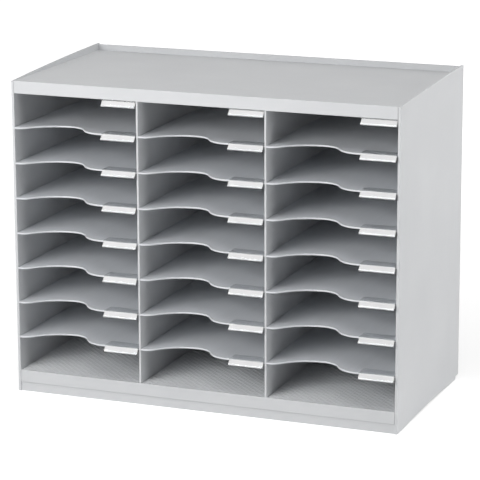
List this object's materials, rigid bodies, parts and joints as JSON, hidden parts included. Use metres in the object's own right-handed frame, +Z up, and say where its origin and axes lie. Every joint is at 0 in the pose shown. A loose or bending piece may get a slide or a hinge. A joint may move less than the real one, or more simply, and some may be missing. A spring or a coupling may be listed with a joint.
{
  "type": "document sorter",
  "caption": "Free-standing grey plastic document sorter: open A4 compartments in columns, with flat pull-out shelves that have a finger recess and a clip-on label holder.",
  "frame": {"origin": "on the floor under the middle of the overall box, label holders included", "axes": "+Z up, +X across the width to the right as seen from the front, front towards -Y"},
  "size_m": [0.674, 0.3492, 0.5446],
  "materials": {
    "cabinet_grey": "light grey moulded plastic with a fine grain",
    "back_grey": "grey sheet plastic with a fine grain",
    "shelf_grey": "light grey sheet plastic, satin",
    "label_holder_clear": "clear plastic, glossy",
    "screw_steel": "zinc-plated steel",
    "label_card": "uncoated white card"
  },
  "bodies": {
    "cabinet": {"left_side_panel": "cabinet_grey", "right_side_panel": "cabinet_grey", "divider_1": "cabinet_grey", "divider_2": "cabinet_grey", "top_panel": "cabinet_grey", "base_panel": "cabinet_grey", "plinth": "cabinet_grey", "back_panel": "back_grey", "back_screws": "screw_steel", "top_label_holders": "label_holder_clear"},
    "column_1_row_1_shelf": {"column_1_row_1_shelf": "shelf_grey", "column_1_row_1_label_holder": "label_holder_clear"},
    "column_1_row_2_shelf": {"column_1_row_2_shelf": "shelf_grey", "column_1_row_2_label_holder": "label_holder_clear"},
    "column_1_row_3_shelf": {"column_1_row_3_shelf": "shelf_grey", "column_1_row_3_label_holder": "label_holder_clear"},
    "column_1_row_4_shelf": {"column_1_row_4_shelf": "shelf_grey", "column_1_row_4_label_holder": "label_holder_clear"},
    "column_1_row_5_shelf": {"column_1_row_5_shelf": "shelf_grey", "column_1_row_5_label_holder": "label_holder_clear"},
    "column_1_row_6_shelf": {"column_1_row_6_shelf": "shelf_grey", "column_1_row_6_label_holder": "label_holder_clear"},
    "column_1_row_7_shelf": {"column_1_row_7_shelf": "shelf_grey", "column_1_row_7_label_holder": "label_holder_clear"},
    "column_2_row_1_shelf": {"column_2_row_1_shelf": "shelf_grey", "column_2_row_1_label_holder": "label_holder_clear"},
    "column_2_row_2_shelf": {"column_2_row_2_shelf": "shelf_grey", "column_2_row_2_label_holder": "label_holder_clear"},
    "column_2_row_3_shelf": {"column_2_row_3_shelf": "shelf_grey", "column_2_row_3_label_holder": "label_holder_clear"},
    "column_2_row_4_shelf": {"column_2_row_4_shelf": "shelf_grey", "column_2_row_4_label_holder": "label_holder_clear"},
    "column_2_row_5_shelf": {"column_2_row_5_shelf": "shelf_grey", "column_2_row_5_label_holder": "label_holder_clear"},
    "column_2_row_6_shelf": {"column_2_row_6_shelf": "shelf_grey", "column_2_row_6_label_holder": "label_holder_clear"},
    "column_2_row_7_shelf": {"column_2_row_7_shelf": "shelf_grey", "column_2_row_7_label_holder": "label_holder_clear"},
    "column_3_row_1_shelf": {"column_3_row_1_shelf": "shelf_grey", "column_3_row_1_label_holder": "label_holder_clear"},
    "column_3_row_2_shelf": {"column_3_row_2_shelf": "shelf_grey", "column_3_row_2_label_holder": "label_holder_clear"},
    "column_3_row_3_shelf": {"column_3_row_3_shelf": "shelf_grey", "column_3_row_3_label_holder": "label_holder_clear"},
    "column_3_row_4_shelf": {"column_3_row_4_shelf": "shelf_grey", "column_3_row_4_label_holder": "label_holder_clear"},
    "column_3_row_5_shelf": {"column_3_row_5_shelf": "shelf_grey", "column_3_row_5_label_holder": "label_holder_clear"},
    "column_3_row_6_shelf": {"column_3_row_6_shelf": "shelf_grey", "column_3_row_6_label_holder": "label_holder_clear"},
    "column_3_row_7_shelf": {"column_3_row_7_shelf": "shelf_grey", "column_3_row_7_label_holder": "label_holder_clear"}
  },
  "joints": [
    {"name": "column_1_row_1_shelf_slide", "type": "slide", "parent": "cabinet", "child": "column_1_row_1_shelf", "axis": [0, -1, 0], "range_m": [0, 0.345]},
    {"name": "column_1_row_2_shelf_slide", "type": "slide", "parent": "cabinet", "child": "column_1_row_2_shelf", "axis": [0, -1, 0], "range_m": [0, 0.345]},
    {"name": "column_1_row_3_shelf_slide", "type": "slide", "parent": "cabinet", "child": "column_1_row_3_shelf", "axis": [0, -1, 0], "range_m": [0, 0.345]},
    {"name": "column_1_row_4_shelf_slide", "type": "slide", "parent": "cabinet", "child": "column_1_row_4_shelf", "axis": [0, -1, 0], "range_m": [0, 0.345]},
    {"name": "column_1_row_5_shelf_slide", "type": "slide", "parent": "cabinet", "child": "column_1_row_5_shelf", "axis": [0, -1, 0], "range_m": [0, 0.345]},
    {"name": "column_1_row_6_shelf_slide", "type": "slide", "parent": "cabinet", "child": "column_1_row_6_shelf", "axis": [0, -1, 0], "range_m": [0, 0.345]},
    {"name": "column_1_row_7_shelf_slide", "type": "slide", "parent": "cabinet", "child": "column_1_row_7_shelf", "axis": [0, -1, 0], "range_m": [0, 0.345]},
    {"name": "column_2_row_1_shelf_slide", "type": "slide", "parent": "cabinet", "child": "column_2_row_1_shelf", "axis": [0, -1, 0], "range_m": [0, 0.345]},
    {"name": "column_2_row_2_shelf_slide", "type": "slide", "parent": "cabinet", "child": "column_2_row_2_shelf", "axis": [0, -1, 0], "range_m": [0, 0.345]},
    {"name": "column_2_row_3_shelf_slide", "type": "slide", "parent": "cabinet", "child": "column_2_row_3_shelf", "axis": [0, -1, 0], "range_m": [0, 0.345]},
    {"name": "column_2_row_4_shelf_slide", "type": "slide", "parent": "cabinet", "child": "column_2_row_4_shelf", "axis": [0, -1, 0], "range_m": [0, 0.345]},
    {"name": "column_2_row_5_shelf_slide", "type": "slide", "parent": "cabinet", "child": "column_2_row_5_shelf", "axis": [0, -1, 0], "range_m": [0, 0.345]},
    {"name": "column_2_row_6_shelf_slide", "type": "slide", "parent": "cabinet", "child": "column_2_row_6_shelf", "axis": [0, -1, 0], "range_m": [0, 0.345]},
    {"name": "column_2_row_7_shelf_slide", "type": "slide", "parent": "cabinet", "child": "column_2_row_7_shelf", "axis": [0, -1, 0], "range_m": [0, 0.345]},
    {"name": "column_3_row_1_shelf_slide", "type": "slide", "parent": "cabinet", "child": "column_3_row_1_shelf", "axis": [0, -1, 0], "range_m": [0, 0.345]},
    {"name": "column_3_row_2_shelf_slide", "type": "slide", "parent": "cabinet", "child": "column_3_row_2_shelf", "axis": [0, -1, 0], "range_m": [0, 0.345]},
    {"name": "column_3_row_3_shelf_slide", "type": "slide", "parent": "cabinet", "child": "column_3_row_3_shelf", "axis": [0, -1, 0], "range_m": [0, 0.345]},
    {"name": "column_3_row_4_shelf_slide", "type": "slide", "parent": "cabinet", "child": "column_3_row_4_shelf", "axis": [0, -1, 0], "range_m": [0, 0.345]},
    {"name": "column_3_row_5_shelf_slide", "type": "slide", "parent": "cabinet", "child": "column_3_row_5_shelf", "axis": [0, -1, 0], "range_m": [0, 0.345]},
    {"name": "column_3_row_6_shelf_slide", "type": "slide", "parent": "cabinet", "child": "column_3_row_6_shelf", "axis": [0, -1, 0], "range_m": [0, 0.345]},
    {"name": "column_3_row_7_shelf_slide", "type": "slide", "parent": "cabinet", "child": "column_3_row_7_shelf", "axis": [0, -1, 0], "range_m": [0, 0.345]}
  ]
}
